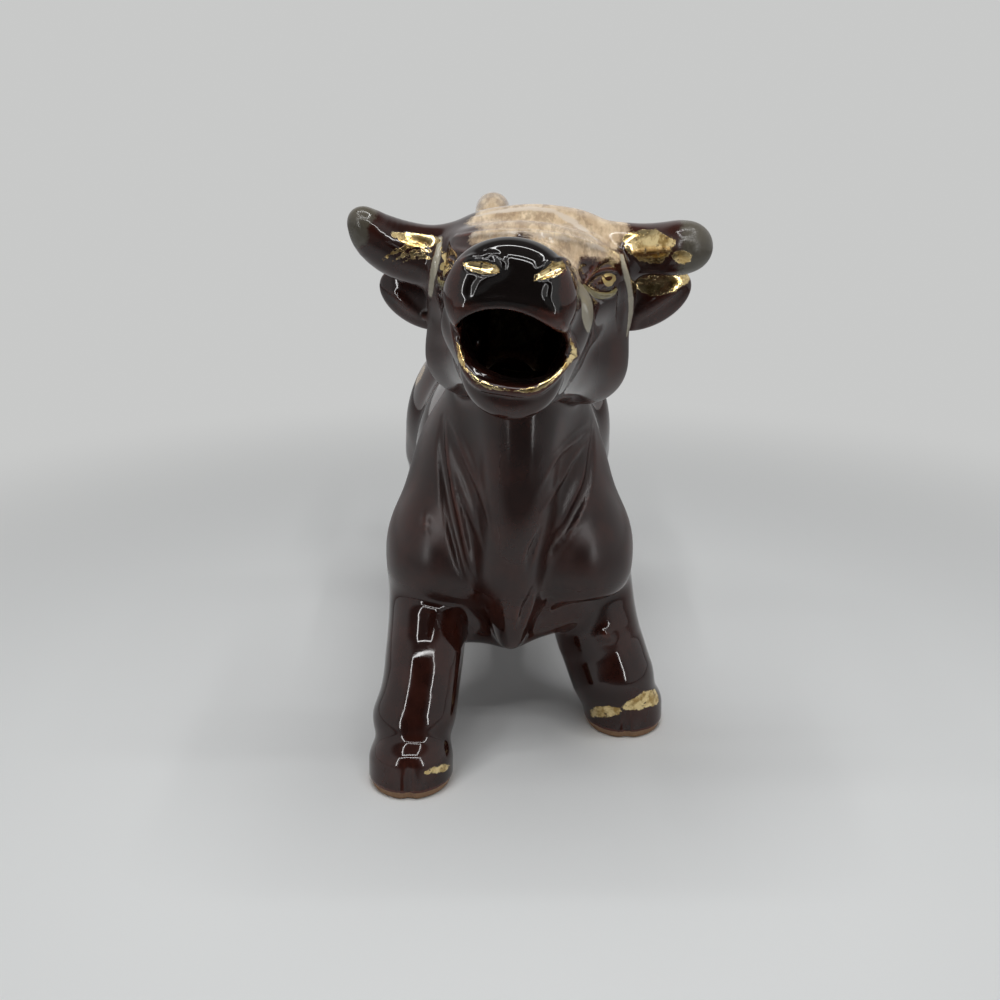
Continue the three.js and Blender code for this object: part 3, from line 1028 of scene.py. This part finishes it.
@shader_group(
    "Worn gilding",
    {"Position": ("Vector", None), "Distance": ("Float", 9.0), "Wear": ("Float", 0.4)},
    {"Mask": "Float", "Color": "Color", "Roughness": "Float", "Height": "Float"},
)
def worn_gilding(graph, given):
    """Brushed gold with a ragged edge, rubbed through in places."""
    place = given["Position"]
    ragged = graph.swing(place, 1.4, detail=5.0, roughness=0.75)
    edge = graph.plus(given["Distance"], graph.times(ragged, GOLD_RAGGED))
    laid = graph.step(edge, *GOLD_EDGE, 1.0, 0.0)
    rubbed = graph.noise(place, 1.2, detail=4.0, roughness=0.65)
    limit = graph.minus(GOLD_LIMIT, graph.times(given["Wear"], GOLD_WORN))
    left = graph.step(rubbed, limit, graph.plus(limit, 0.06), 1.0, 0.0)
    mask = graph.times(laid, left)
    tone = graph.noise(place, 2.2, detail=4.0, roughness=0.65)
    return {
        "Mask": mask,
        "Color": graph.mixed(graph.step(tone, *GOLD_TONES), *GOLD),
        "Roughness": graph.plus(GOLD_ROUGHNESS, graph.times(rubbed, 0.2)),
        "Height": graph.times(mask, GOLD_HEIGHT),
    }


@shader_group(
    "Glaze surface",
    {"Position": ("Vector", None), "Wave": ("Float", 0.03), "Peel": ("Float", 0.003)},
    {"Height": "Float", "Roughness": "Float"},
)
def glaze_surface(graph, given):
    """The slow waves and the fine peel of a poured glaze, in millimetres."""
    place = given["Position"]
    wave = graph.times(graph.noise(place, 8.0, detail=1.0), given["Wave"])
    peel = graph.times(graph.noise(place, 1.3), given["Peel"])
    haze = graph.noise(place, 5.0, detail=5.0, roughness=0.65)
    return {"Height": graph.plus(wave, peel), "Roughness": graph.step(haze, 0.3, 0.8, *HAZE)}


def pottery(name, glaze, cloud, patch):
    """Glazed pottery. What is painted where comes from the piece's attributes, which
    hold the distance in millimetres to each colour's edge."""
    material = bpy.data.materials.new(name)
    material.use_nodes = True
    graph = Graph(material.node_tree)
    shader = material.node_tree.nodes["Principled BSDF"]
    place = graph.add("TexCoord")["Object"]
    place = graph.add("VectorMath", {0: place, 3: 1 / MM}, operation="SCALE")[0]

    def painted(name):
        return graph.add("Attribute", attribute_name=name)["Fac"]

    def sprayed(name):
        given = {"Position": place, "Distance": painted(name)}
        given.update(zip(("Fade", "Grain", "Speckle"), SPRAY[name]))
        return graph.group(sprayed_edge, given)["Mask"]

    curve = painted("curve")

    def glazed(position, glaze, breaks, cloud, patch):
        given = {"Position": position, "Curve": curve, "Thick": glaze[0], "Thin": glaze[1],
                 "Break": breaks, "Cloud": cloud, "Patch": patch}
        return graph.group(glaze_depth, given)["Color"]

    base = glazed(place, glaze, breaks=0.9, cloud=cloud, patch=patch)
    drawn_out = graph.add("VectorMath", {0: place, 1: STREAKS}, operation="MULTIPLY")[0]
    tan = glazed(drawn_out, TAN_GLAZE, breaks=0.5, cloud=0.9, patch=3.0)
    vein = graph.math("ABSOLUTE", graph.swing(drawn_out, 3.6, detail=5.0, roughness=0.62))
    tan = graph.mixed(graph.step(vein, *VEIN_EDGE, VEIN_STRENGTH, 0.0), tan, TAN_VEIN)
    # the pale glaze of the crown, with the painted highlight along the brow ridge
    tan = graph.mixed(sprayed("milk_and_highlight"), tan, MILK_AND_HIGHLIGHT)
    colour = graph.mixed(sprayed("tan"), base, tan)
    for paint, shade in OVER_TAN.items():
        colour = graph.mixed(sprayed(paint), colour, shade)
    gold = graph.group(worn_gilding, {"Position": place, "Distance": painted("gold"), "Wear": GOLD_WEAR})
    colour = graph.mixed(gold["Mask"], colour, gold["Color"])
    bare = sprayed("sole")
    clay = graph.mixed(graph.noise(place, CLAY_GRAIN, detail=3.0), *CLAY)
    graph.feed(shader.inputs["Base Color"], graph.mixed(bare, colour, clay))

    skin = graph.group(glaze_surface, {"Position": place})
    dull = graph.step(painted("dull"), *DULL_EDGE, DULLNESS, 0.0)
    roughness = graph.plus(skin["Roughness"], dull)
    roughness = graph.between(gold["Mask"], roughness, gold["Roughness"])
    graph.feed(shader.inputs["Roughness"], graph.between(bare, roughness, CLAY_ROUGHNESS))
    graph.feed(shader.inputs["Metallic"], gold["Mask"])
    grit = graph.times(graph.noise(place, CLAY_GRAIN, detail=3.0), CLAY_GRIT)
    height = graph.plus(skin["Height"], gold["Height"])
    height = graph.between(bare, height, grit)
    bump = graph.add("Bump", {"Strength": 1.0, "Distance": MM, "Height": height})
    graph.feed(shader.inputs["Normal"], bump["Normal"])
    return material


BROWN = pottery("Brown glaze", BROWN_GLAZE, cloud=0.4, patch=10.0)
SANDY = pottery("Sandy glaze", SANDY_GLAZE, cloud=0.9, patch=3.0)

# Paints: where each colour lies

X, Y, Z = range(3)


def above(place, axis, level, sign=1):
    """Distance under a level of one axis of a frame, so that what is past it is painted."""
    turn, centre = place
    return lambda p: sign * (level - (p - centre) @ turn[:, axis])


def both(*forms):
    """Painted only where all of the forms are."""
    return lambda p: np.maximum.reduce([form(p) for form in forms])


def brushed(stations, skin=detailed, **given):
    return traced(stations, skin=skin, **given)


def worked_head(p):
    return head_whole(p, detailed(p))


nape = limb(4, [[2.5, -32, 115, 9], [2, -25, 107, 9], [1, -17, 95, 8.5], [0, -9, 84, 8], [0, -2, 80, 8]])
rear_top = both(above(BODY, Z, 76), above(BODY, Y, -4))
left_tip = in_frame(SKULL, ellipsoid([34, -5, 8], [6, 9, 8]))
MUZZLE_GOLD = [
    [(465, 264.5, .4), (473, 266, .9), (482, 267.5, 1.1), (491, 269, .9), (498, 270.5, .4)],
    [(537, 278, .4), (545, 274, .9), (552, 271, 1.2), (559, 267.5, 1.0), (564, 265.5, .4)],
    [(455, 339, .1), (459, 350, .45), (462, 362, .45), (468, 371, .15), (480, 382, .45),
     (489, 386, .4), (500, 389, .15), (520, 391.5, .15), (536, 389, .3), (547, 381, .65),
     (560, 369, .7), (575, 355, .5)],
    [(575, 355, .5), (573, 347, .35), (570, 339, .15)],
]
HORN_GOLD = [  # and on the ear
    [(384, 259, .15), (397, 251, .35), (412, 246, .35), (428, 246, .15)],
    [(393, 261, .15), (407, 254, .35), (420, 251, .3), (432, 252, .1)],
    [(404, 262, .1), (416, 257, .3), (430, 258, .15)],
    [(441, 248, .3), (446, 262, .5), (444, 276, .3)],
    [(628, 238, 1.0), (640, 243, 2.8), (652, 247, 3.2), (663, 246, 2.0), (672, 243, .7)],
    [(676, 256, .8), (683, 258, 1.4), (689, 256, .6)],
    [(439, 241, .6), (430, 241, 1.3), (418, 240, 1.4), (405, 238, 1.1), (394, 234, .5)],
    [(641, 284, 1.2), (652, 286, 2.0), (665, 284, 2.0), (678, 280, 1.6), (688, 277, .8)],
]
PAINTS = {
    "gold": [
        *[brushed(line) for line in MUZZLE_GOLD],
        *[brushed(line, skin=worked_head) for line in HORN_GOLD],
        brushed([(425, 773, .3), (434, 770.5, .6), (444, 768, .7), (450, 766, .3)], skin=near_leg),
        brushed([(592, 714, .8), (600, 712, 1.4), (609, 711, 1.5), (619, 711, .8)], skin=far_leg),
        brushed([(627, 707, 1.0), (640, 702, 1.9), (655, 697, 1.9)], skin=far_leg),
    ],
    "lid": [brushed([(x, y + .3, r + .1) for x, y, r in LOWER_LID], twin=True)],
    "iris": [
        brushed([(603.5, 278, .4), (605, 282, .5), (609, 284, .55), (613, 281.5, .5), (613.5, 277, .4),
                 (609, 274.5, .35), (605, 275.5, .35)], twin=True),
    ],
    "cream": [
        brushed([(x, y, .8 * r) for x, y, r in BAND_LEFT], skin=worked_head),
        brushed([(x, y, .7 * r) for x, y, r in BAND_RIGHT], skin=worked_head),
        brushed([(575, 279, .5), (579, 288, 1.5), (584, 297, 2.6), (588, 306, 3.9), (589.5, 313, 3.4),
                 (591, 323, 1.0)]),
    ],
    "tan": [
        in_frame(SKULL, ellipsoid([3.5, 0, 11], [15.5, 17, 9])),
        brushed([(548, 243, 3.0), (560, 250, 3.6), (570, 260, 3.2), (576, 273, 2.0), (580, 284, .8)]),
        brushed([(520, 240, 2.5), (550, 244, 3.0), (580, 247, 2.3), (604, 251, 1.3), (617, 256, .8)]),
        brushed([(477, 236, 1.4), (488, 233, 2.4), (504, 231, 3.0)]),
        brushed([(422, 348, 3.0), (421, 364, 3.5), (419, 378, 2.0)]),
        blended(nape, (9, rear_top)),
    ],
    "milk_and_highlight": [
        brushed([(476, 216, .5), (500, 211, .9), (530, 208.5, 1.0), (553, 210, .6)]),
        brushed([(558, 213, .4), (571, 221, .8), (585, 231, .8), (597, 240, .4)]),
        # a painted highlight: a thin pale line along the brow ridge, which also stands for the glaze
        # breaking pale there
        brushed([(x, y, .3 * r) for x, y, r in BROW_LINE]),
    ],
    # the nose pad's black glaze, and painted shade inside the mouth opening
    "nose": [
        both(above(MUZZLE, Y, -31.5, -1), above(MUZZLE, Z, 2.5), above(MUZZLE, X, -8.5),
             above(MUZZLE, X, 8.5, -1)),
        # painted shade: the walls inside the mouth opening take the nose's black
        lambda p: mouth(p) - 0.25,
    ],
    "smoke": [left_tip, in_frame(SKULL, ellipsoid([-35, -5, 14], [5.5, 8, 7]))],
    "dull": [
        both(above(BODY, Z, 38), above(BODY, Z, 82, -1), above(BODY, Y, -6, -1),
             lambda p: -bar([2.4, -51, 86, 3.5], [1.6, -52, 52, 3.5])(p)),
        in_frame(MUZZLE, mirrored(ellipsoid([19, 0, -12], [8, 13, 13]))),
        left_tip,
        in_frame(SKULL, ellipsoid([-36, -5, 15], [4.5, 8, 6])),
    ],
    "sole": [above(BODY, Z, SOLE_HEIGHT, -1)],
}


# Sections

CURVE_STEP = 0.29
COARSER = 1  # how much larger the cells of a quick skin are


def paint(mesh, points, field):
    """Smooth normals, the curvature and the distance to each painted colour."""
    slopes, mean = sampled(field, points, CURVE_STEP)
    slopes /= (length(slopes) + TINY)[:, None]
    mesh.normals_split_custom_set_from_vertices(slopes.tolist())
    store_paints(mesh, points, 2 * (mean - field(points)) / CURVE_STEP ** 2)


def store_values(mesh, label, values):
    data = mesh.attributes.new(label, "FLOAT", "POINT").data
    data.foreach_set("value", values.astype(np.float32))


def store_paints(mesh, points, curve):
    """Attributes for the material: the curvature and the distance to each colour."""
    values = {"curve": curve}
    for name, forms in PAINTS.items():
        values[name] = np.minimum.reduce([f(points) for f in forms] + [np.full(len(points), PAINT_FAR)])
    for name, value in values.items():
        store_values(mesh, name, np.clip(value, -PAINT_FAR, PAINT_FAR))


def section(name, node, field, sheen, reach, cell, material=BROWN):
    """A glazed section that takes the place of a casting. Its skin is looked for within
    a reach of the casting's box."""
    low, high = (np.array(corner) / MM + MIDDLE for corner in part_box(node))
    points, quads = surface(field, low - reach, high + reach, cell * COARSER)
    mesh = bpy.data.meshes.new(name)
    mesh.from_pydata(in_part(points).tolist(), [], quads.tolist())
    mesh.update()
    mesh.polygons.foreach_set("use_smooth", np.ones(len(quads), bool))
    mesh.materials.append(material)
    paint(mesh, points, sheen)
    piece = placed(name, mesh)
    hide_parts(node)
    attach(piece, ROOT)
    print(name, len(points), "points")


section("glazed_barrel", "barrel_shell", barrel_field, barrel_sheen, reach=3, cell=0.75)
section("glazed_neck", "neck_shell", neck_field, neck_sheen, reach=3, cell=0.55)
section("glazed_head", "head_shell", head_field, head_sheen, reach=3, cell=0.5)
for side in HORNS:
    horn, ear = horn_forms[side], ear_forms[side]
    for kind, form, beside in (("horn", horn, ear), ("ear", ear, horn)):
        section(f"glazed_{kind}_{side}", f"{kind}_{side}", head_part_field(form, beside), head_sheen,
                reach=3, cell=0.4)
for name in LEGS:
    section(f"glazed_{name}", name, leg_field(name), leg_sheen(name), reach=4, cell=0.55)
section("glazed_tail", "tail_handle", tail_field, tail_sheen, reach=4, cell=0.5,
        material=SANDY)


# Strands of hair where the tail lies on the back

TUFT = {"Strands": 15, "Thickness": 0.85 * MM, "Spread": 0.93, "Twist": 1.1, "Seed": 4}
TUFT_FROM = 5  # the station of the tail where the strands begin
TUFT_STEPS = 8
TUFT_LOOSENESS = 0.25  # how far chance turns a strand, in radians
TUFT_START = {"From Max": 0.25, "To Min": 0.15}  # share of the path where they thicken, and from what
STRAND_SIDES = 8
STRAND_CURVE = 0.9  # the curvature that the glaze takes them for


def tuft_tree():
    """Strands spaced round a path, turned a little along it and thinner at its start."""
    tree = bpy.data.node_groups.new("Tail strands", "GeometryNodeTree")
    kinds = {"Geometry": "Geometry", "Strands": "Int", "Thickness": "Float", "Spread": "Float",
             "Twist": "Float", "Seed": "Int", "Glaze": "Material"}
    for label, kind in kinds.items():
        add_socket(tree, "INPUT", label, kind)
    add_socket(tree, "OUTPUT", "Geometry", "Geometry")
    given = tree.nodes.new("NodeGroupInput").outputs
    graph = Graph(tree)
    add = graph.new

    def stored(label):
        return add("GeometryNodeInputNamedAttribute", {"Name": label}, data_type="FLOAT")["Attribute"]

    path = add("GeometryNodeMeshToCurve", {"Mesh": given["Geometry"]})["Curve"]
    copies = add("GeometryNodeDuplicateElements", {"Geometry": path, "Amount": given["Strands"]},
                 domain="SPLINE")
    number = copies["Duplicate Index"]
    along, width = stored("along"), stored("width")
    turn = graph.math("DIVIDE", graph.times(number, math.tau), given["Strands"])
    turn = graph.plus(turn, graph.times(along, given["Twist"]))
    chance = add("FunctionNodeRandomValue", {"ID": number, "Seed": given["Seed"]}, data_type="FLOAT")[1]
    turn = graph.plus(turn, graph.times(chance, TUFT_LOOSENESS))
    tangent = add("GeometryNodeInputTangent")["Tangent"]
    normal = add("GeometryNodeInputNormal")["Normal"]
    outward = add("ShaderNodeVectorRotate", {"Vector": normal, "Axis": tangent, "Angle": turn})[0]
    reach = graph.times(width, given["Spread"])
    offset = add("ShaderNodeVectorMath", {0: outward, 3: reach}, operation="SCALE")[0]
    strands = add("GeometryNodeSetPosition", {"Geometry": copies["Geometry"], "Offset": offset})[0]
    ring = {"Resolution": STRAND_SIDES, "Radius": given["Thickness"]}
    profile = add("GeometryNodeCurvePrimitiveCircle", ring)[0]
    taper = add("ShaderNodeMapRange", {"Value": along, **TUFT_START})["Result"]
    tubes = add("GeometryNodeCurveToMesh", {"Curve": strands, "Profile Curve": profile, "Scale": taper,
                                            "Fill Caps": True})[0]
    smooth = add("GeometryNodeSetShadeSmooth", {"Geometry": tubes})[0]
    real = add("GeometryNodeRealizeInstances", {"Geometry": smooth})[0]
    glazed = add("GeometryNodeSetMaterial", {"Geometry": real, "Material": given["Glaze"]})[0]
    tree.links.new(glazed, tree.nodes.new("NodeGroupOutput").inputs[0])
    return tree


def make_tuft():
    path = smooth_path(TAIL[TUFT_FROM:], TUFT_STEPS)
    mesh = bpy.data.meshes.new("tail_strands")
    mesh.from_pydata(in_part(path[:, :3]).tolist(), [(i, i + 1) for i in range(len(path) - 1)], [])
    store_values(mesh, "along", np.linspace(0, 1, len(path)))
    store_values(mesh, "width", path[:, 3] * MM)
    piece = placed("tail_strands", mesh)
    modifier = piece.modifiers.new("Strands", "NODES")
    modifier.node_group = tuft_tree()
    for item in modifier.node_group.interface.items_tree:
        if item.in_out == "INPUT" and item.name in TUFT:
            modifier[item.identifier] = TUFT[item.name]
        elif item.name == "Glaze":
            modifier[item.identifier] = SANDY
    evaluated = piece.evaluated_get(bpy.context.evaluated_depsgraph_get())
    strands = bpy.data.meshes.new_from_object(evaluated)
    piece.modifiers.clear()
    piece.data = strands
    points = np.empty(3 * len(strands.vertices), np.float32)
    strands.vertices.foreach_get("co", points)
    points = points.reshape(-1, 3) / MM + np.float32(MIDDLE)
    store_paints(strands, points, np.full(len(points), STRAND_CURVE))
    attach(piece, ROOT)
    print("tail_strands", len(points), "points")


make_tuft()

# Stage

PALE = (0.58, 0.585, 0.58, 1)  # the paper that the bull stands in front of
PAPER = {"Base Color": (0.86, 0.875, 0.875, 1), "Roughness": 0.9, "Specular IOR Level": 0.1}
FLOOR_CORNERS = [(-0.75, -0.75, 0), (0.75, -0.75, 0), (0.75, 0.75, 0), (-0.75, 0.75, 0)]
FLOOR_FADE = (0.12, 0.30)  # where the floor turns into the plain background
DARK_FRONT = (-0.24, -0.10)  # where the floor in front is lost in the dark of the room
OPENING = math.tan(math.radians(38))  # half the width of the dark space in front
OPENING_EDGE = (-0.28, 0.28)
LOW_EDGE = (-0.2, 0.2)  # where its floor turns into its dark
CEILING_EDGE = (0.62, 0.8)
WALL_LIGHT = (0.62, 0.62, 0.62, 1)
CEILING = (0.12, 0.12, 0.12, 1)
DARK_ROOM = (0.03, 0.03, 0.03, 1)
LOW_FRONT = (0.20, 0.20, 0.20, 1)
ROOM_FILL = 0.4  # share of the room's light that falls on dull surfaces
SOFT_LAMP = {"at": (0, -0.02, 0.46), "size": (0.30, 0.24), "glow": 2.2}  # a diffuser overhead
TUBE_WIDTH = 0.014
TUBE_GLOW = 20.0  # radiance of a tube
RING = [(-0.16, -0.30, 0.42), (0.16, -0.30, 0.42), (0.16, -0.04, 0.42), (-0.16, -0.04, 0.42)]
POSTS = [(-0.25, -0.36), (0.25, -0.36)]  # upright tubes at the front corners
POST_SPAN = (0.05, 0.36)
AIM = (0.0, -0.03, 0.05)  # what the tubes face


def make_floor():
    mesh = bpy.data.meshes.new("floor")
    mesh.from_pydata(FLOOR_CORNERS, [], [(0, 1, 2, 3)])
    floor = placed("floor", mesh)
    material = bpy.data.materials.new("Pale paper")
    material.use_nodes = True
    graph = Graph(material.node_tree)
    paper = material.node_tree.nodes["Principled BSDF"]
    for key, value in PAPER.items():
        paper.inputs[key].default_value = value
    place = graph.add("TexCoord")["Object"]
    path = graph.add("LightPath")
    reach = graph.add("VectorMath", {0: place}, operation="LENGTH")["Value"]
    fade = graph.times(graph.step(reach, *FLOOR_FADE), path["Is Camera Ray"])
    ahead = graph.add("SeparateXYZ", {0: place})["Y"]
    dark = graph.step(ahead, *DARK_FRONT, 1.0, 0.0)
    dark = graph.times(dark, path["Is Glossy Ray"])
    plain = graph.add("Emission", {"Color": PALE, "Strength": 1.0})[0]
    lost = graph.add("Emission", {"Color": LOW_FRONT, "Strength": 1.0})[0]
    lit = graph.add("MixShader", {0: fade, 1: paper.outputs[0], 2: plain})[0]
    mix = graph.add("MixShader", {0: dark, 1: lit, 2: lost})
    graph.feed(material.node_tree.nodes["Material Output"].inputs["Surface"], mix[0])
    mesh.materials.append(material)
    floor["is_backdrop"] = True


def make_world():
    """Pale walls on three sides, a darker ceiling and a dark space in front."""
    world = bpy.data.worlds.new("Studio")
    bpy.context.scene.world = world
    world.use_nodes = True
    graph = Graph(world.node_tree)
    heading = graph.add("TexCoord")["Generated"]
    axes = graph.add("SeparateXYZ", {0: heading})
    across = graph.math("ABSOLUTE", axes["X"])
    ahead = graph.times(axes["Y"], -OPENING)
    opening = graph.step(graph.minus(ahead, across), *OPENING_EDGE)
    front = graph.mixed(graph.step(axes["Z"], *LOW_EDGE), LOW_FRONT, DARK_ROOM)
    overhead = graph.step(axes["Z"], *CEILING_EDGE)
    room = graph.mixed(opening, WALL_LIGHT, front)
    room = graph.mixed(overhead, room, CEILING)
    path = graph.add("LightPath")
    fill = graph.between(path["Is Glossy Ray"], ROOM_FILL, 1.0)
    studio = graph.add("Background", {"Color": room, "Strength": fill})[0]
    plain = graph.add("Background", {"Color": PALE, "Strength": 1.0})[0]
    mix = graph.add("MixShader", {0: path["Is Camera Ray"], 1: studio, 2: plain})
    graph.feed(world.node_tree.nodes["World Output"].inputs["Surface"], mix[0])


def area_lamp(name, size, glow):
    """A lamp of a given size and radiance that the camera does not see."""
    light = bpy.data.lights.new(name, "AREA")
    light.shape = "RECTANGLE"
    light.size, light.size_y = size
    light.energy = glow * math.pi * light.size * light.size_y
    lamp = placed(name, light)
    lamp.visible_camera = False
    return lamp


def lamp_tube(name, start, end, dull):
    """A thin lamp between two points, facing the bull. It may light dull surfaces too."""
    start, end = Vector(start), Vector(end)
    along = (end - start).normalized()
    back = (start + end) / 2 - Vector(AIM)
    back = (back - along * back.dot(along)).normalized()
    lamp = area_lamp(name, ((end - start).length, TUBE_WIDTH), TUBE_GLOW)
    axes = Matrix((along, back.cross(along), back)).transposed()
    lamp.matrix_world = Matrix.Translation((start + end) / 2) @ axes.to_4x4()
    lamp.visible_diffuse = dull


def make_lamps():
    ring = list(zip(RING, RING[1:] + RING[:1]))
    posts = [[(x, y, z) for z in POST_SPAN] for x, y in POSTS]
    posts.append([(x, y, POST_SPAN[1]) for x, y in POSTS])
    for number, (start, end) in enumerate(ring + posts, 1):
        lamp_tube(f"lamp_{number}", start, end, number <= len(ring))
    soft = area_lamp("soft_lamp", SOFT_LAMP["size"], SOFT_LAMP["glow"])
    soft.location = SOFT_LAMP["at"]
    soft.visible_glossy = False


make_floor()
make_world()
make_lamps()

camera_data = bpy.data.cameras.new("camera")
camera_data.sensor_width = SENSOR
camera_data.lens = SENSOR * PHOTO_FOCAL / PHOTO_SIZE
camera = placed("camera", camera_data)
camera.location = in_part(CAMERA_AT)
camera.rotation_euler = (math.radians(90 - CAMERA_DOWN), 0, 0)
bpy.context.scene.camera = camera
bpy.context.scene.view_settings.view_transform = "Standard"

boxes = {"cad": CAD_BOX, "visual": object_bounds()}
{k: [list(corner) for corner in box] for k, box in boxes.items()}
